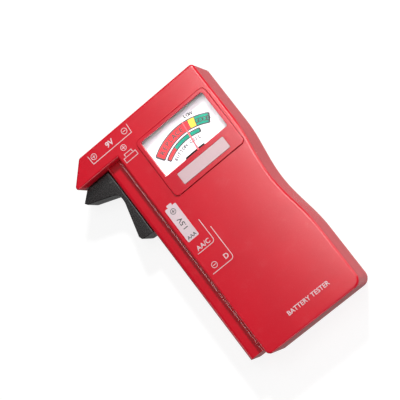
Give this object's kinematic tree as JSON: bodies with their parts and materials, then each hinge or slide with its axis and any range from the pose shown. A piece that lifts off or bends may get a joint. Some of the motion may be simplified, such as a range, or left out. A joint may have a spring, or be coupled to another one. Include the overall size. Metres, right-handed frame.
{
  "type": "battery tester",
  "caption": "Hand-held analogue battery tester: red two-part case with a needle meter, a fixed contact hook and a spring-loaded black sliding contact arm on a side rail.",
  "frame": {"origin": "on the rear face, at the middle of the face block's width and of the case's length", "axes": "+Z out of the face with the dial, the tester lying on its back; +Y along the case towards the end with the hook and the block-battery contacts; +X away from the slide rail"},
  "size_m": [0.078, 0.1194, 0.0269],
  "materials": {
    "red_case": "moulded, satin to gloss",
    "red_bezel": "moulded, satin",
    "clear_window": "clear, polished",
    "pale_plate": "satin, blank",
    "dial_white": "printed card, matt",
    "black_moulding": "moulded, matt",
    "magnet": "ground",
    "brass": "rolled",
    "soft_iron": "turned",
    "steel": "zinc plated",
    "copper": "enamelled winding wire",
    "needle_red": "thin paint",
    "black_arm": "moulded, satin",
    "nickel": "nickel plated",
    "board": "phenolic board",
    "resistor_white": "matt ceramic",
    "resistor_tan": "lacquered",
    "resistor_blue": "lacquered",
    "wire_red": "insulation",
    "wire_black": "insulation",
    "wire_blue": "insulation",
    "label_paper": "blank, satin foil"
  },
  "bodies": {
    "case": {"front_shell": "red_case", "rear_shell": "red_case", "meter_bezel": "red_bezel", "meter_window": "clear_window", "name_plate": "pale_plate", "dial_plate": "dial_white", "meter_frame": "black_moulding", "core_magnet": "magnet", "core_spacers": "brass", "iron_ring": "soft_iron", "front_bridge": "brass", "bridge_screws": "steel", "front_jewel_screw": "brass", "rear_jewel_screw": "brass", "front_hairspring": "brass", "rear_hairspring": "brass", "return_spring": "steel", "bus_strip": "brass", "cell_contact": "nickel", "snap_contact_positive": "nickel", "snap_contact_negative": "nickel", "circuit_board": "board", "cell_load_resistor": "resistor_white", "block_load_resistor": "resistor_tan", "meter_resistor": "resistor_blue", "board_screws": "steel", "cell_wire": "wire_red", "bus_wire": "wire_black", "snap_wire_positive": "wire_red", "snap_wire_negative": "wire_black", "meter_wires": "wire_blue", "case_screws": "steel", "rear_label": "label_paper"},
    "arm": {"slide_arm": "black_arm", "arm_contact": "nickel", "arm_lead": "brass", "arm_wiper": "brass"},
    "needle_assembly": {"moving_coil": "copper", "coil_pivots": "steel", "needle": "needle_red", "needle_balance": "steel"}
  },
  "joints": [
    {"name": "arm_slide", "type": "slide", "parent": "case", "child": "arm", "axis": [0, -1, 0], "range_m": [0, 0.064], "stiffness_N_per_m": 60, "springref_m": -0.03, "deforming": ["return_spring"]},
    {"name": "needle_swing", "type": "hinge", "parent": "case", "child": "needle_assembly", "pos_m": [0.00265, 0.0136, 0.0144], "axis": [0, 0, 1], "range_deg": [-24.5, 38], "stiffness_Nm_per_rad": 0.000008}
  ]
}
